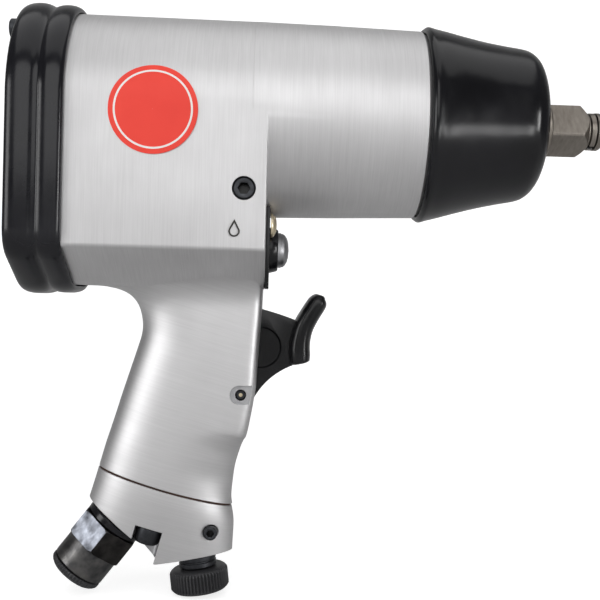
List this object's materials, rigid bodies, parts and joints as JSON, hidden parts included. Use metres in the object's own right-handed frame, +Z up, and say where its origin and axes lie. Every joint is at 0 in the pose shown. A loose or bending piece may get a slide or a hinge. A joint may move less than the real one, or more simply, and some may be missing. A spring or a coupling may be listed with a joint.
{
  "type": "air impact wrench",
  "caption": "Pistol-grip pneumatic impact wrench with a half-inch square drive, metal housing, black nose boot, rear bumper, trigger, reverse button and air inlet under the handle.",
  "frame": {"origin": "centre of the square drive's front end face, on the barrel axis", "axes": "+X forward along the barrel axis out of the drive, +Z up, the handle hangs down, +Y to the tool's left"},
  "size_m": [0.1919, 0.0696, 0.1915],
  "materials": {
    "aluminium": "satin, lightly brushed casting",
    "black_vinyl": "gloss soft vinyl",
    "black_rubber": "semi-gloss moulded rubber",
    "black_plastic": "moulded, satin",
    "black_steel": "black oxide steel",
    "drive_steel": "dark heat-treated steel",
    "bright_steel": "ground steel",
    "brass": "turned or plated brass",
    "bronze": "sintered bronze",
    "gasket_paper": "brown fibre gasket sheet",
    "vane_resin": "fabric-reinforced resin"
  },
  "bodies": {
    "housing_body": {"housing": "aluminium", "rear_cover": "aluminium", "rear_gasket": "gasket_paper", "rear_bumper": "black_rubber", "rear_cover_screw_1": "black_steel", "rear_cover_screw_2": "black_steel", "rear_cover_screw_3": "black_steel", "rear_cover_screw_4": "black_steel", "front_boot": "black_vinyl", "anvil_bushing": "bronze", "anvil_seal": "black_rubber", "cylinder_liner": "bright_steel", "rear_end_plate": "bright_steel", "rear_bearing": "bright_steel", "front_end_plate": "bright_steel", "front_bearing": "bright_steel", "handle_base": "aluminium", "base_gasket": "gasket_paper", "base_screw_left": "black_steel", "base_screw_right": "black_steel", "oil_plug": "black_steel", "air_passage_plug": "black_steel", "inlet_seal": "black_rubber", "inlet_bushing": "black_steel", "inlet_strainer": "brass", "regulator_gland": "black_steel", "trigger_pin": "bright_steel", "throttle_seat": "brass", "throttle_spring": "bright_steel", "reverse_plate": "black_steel", "reverse_plate_screw_left": "brass", "reverse_plate_screw_right": "brass", "reverse_bushing": "bronze"},
    "rotor_body": {"rotor": "bright_steel", "vane_1": "vane_resin", "vane_2": "vane_resin", "vane_3": "vane_resin", "vane_4": "vane_resin", "vane_5": "vane_resin", "vane_6": "vane_resin", "hammer_cage": "bright_steel", "hammer_pin_1": "bright_steel", "hammer_pin_2": "bright_steel"},
    "rear_hammer_body": {"hammer_rear": "bright_steel"},
    "front_hammer_body": {"hammer_front": "bright_steel"},
    "anvil_body": {"anvil": "drive_steel", "friction_ring": "bright_steel", "friction_ring_seal": "black_rubber"},
    "trigger_body": {"trigger": "black_plastic"},
    "throttle_body": {"throttle_valve": "brass"},
    "reverse_body": {"reverse_valve": "bright_steel", "reverse_button": "black_steel"},
    "regulator_body": {"regulator_knob": "black_plastic", "regulator_spindle": "bright_steel"},
    "dust_cap_body": {"inlet_dust_cap": "black_plastic"}
  },
  "joints": [
    {"name": "rotor_spin", "type": "hinge", "parent": "housing_body", "child": "rotor_body", "pos_m": [-0.15, 0, 0], "axis": [1, 0, 0], "continuous": true},
    {"name": "rear_hammer_swing", "type": "hinge", "parent": "rotor_body", "child": "rear_hammer_body", "pos_m": [-0.0957, 0, -0.018], "axis": [1, 0, 0], "range_deg": [-2, 2]},
    {"name": "front_hammer_swing", "type": "hinge", "parent": "rotor_body", "child": "front_hammer_body", "pos_m": [-0.0743, 0, 0.018], "axis": [1, 0, 0], "range_deg": [-2, 2]},
    {"name": "anvil_spin", "type": "hinge", "parent": "housing_body", "child": "anvil_body", "pos_m": [-0.03, 0, 0], "axis": [1, 0, 0], "continuous": true},
    {"name": "trigger_pull", "type": "hinge", "parent": "housing_body", "child": "trigger_body", "pos_m": [-0.1181, 0, -0.0901], "axis": [0, -1, 0], "range_deg": [0, 12], "stiffness_Nm_per_rad": 0.5, "springref_deg": -5.73},
    {"name": "throttle_slide", "type": "slide", "parent": "housing_body", "child": "throttle_body", "axis": [-1, 0, 0], "range_m": [0, 0.0041], "deforming": ["throttle_spring"]},
    {"name": "reverse_shift", "type": "slide", "parent": "housing_body", "child": "reverse_body", "axis": [1, 0, 0], "range_m": [-0.005, 0]},
    {"name": "regulator_turn", "type": "hinge", "parent": "housing_body", "child": "regulator_body", "pos_m": [-0.1316, 0, -0.1436], "axis": [-0.1288, 0, 0.9917], "range_deg": [-135, 135]},
    {"name": "dust_cap_pull", "type": "slide", "parent": "housing_body", "child": "dust_cap_body", "axis": [-0.6088, 0, -0.7934], "range_m": [0, 0.012]}
  ],
  "couplings": [
    {"joint": "throttle_slide", "follows": "trigger_pull", "m_per_rad": 0.019},
    {"joint": "anvil_spin", "follows": "rotor_spin", "ratio": 1}
  ]
}
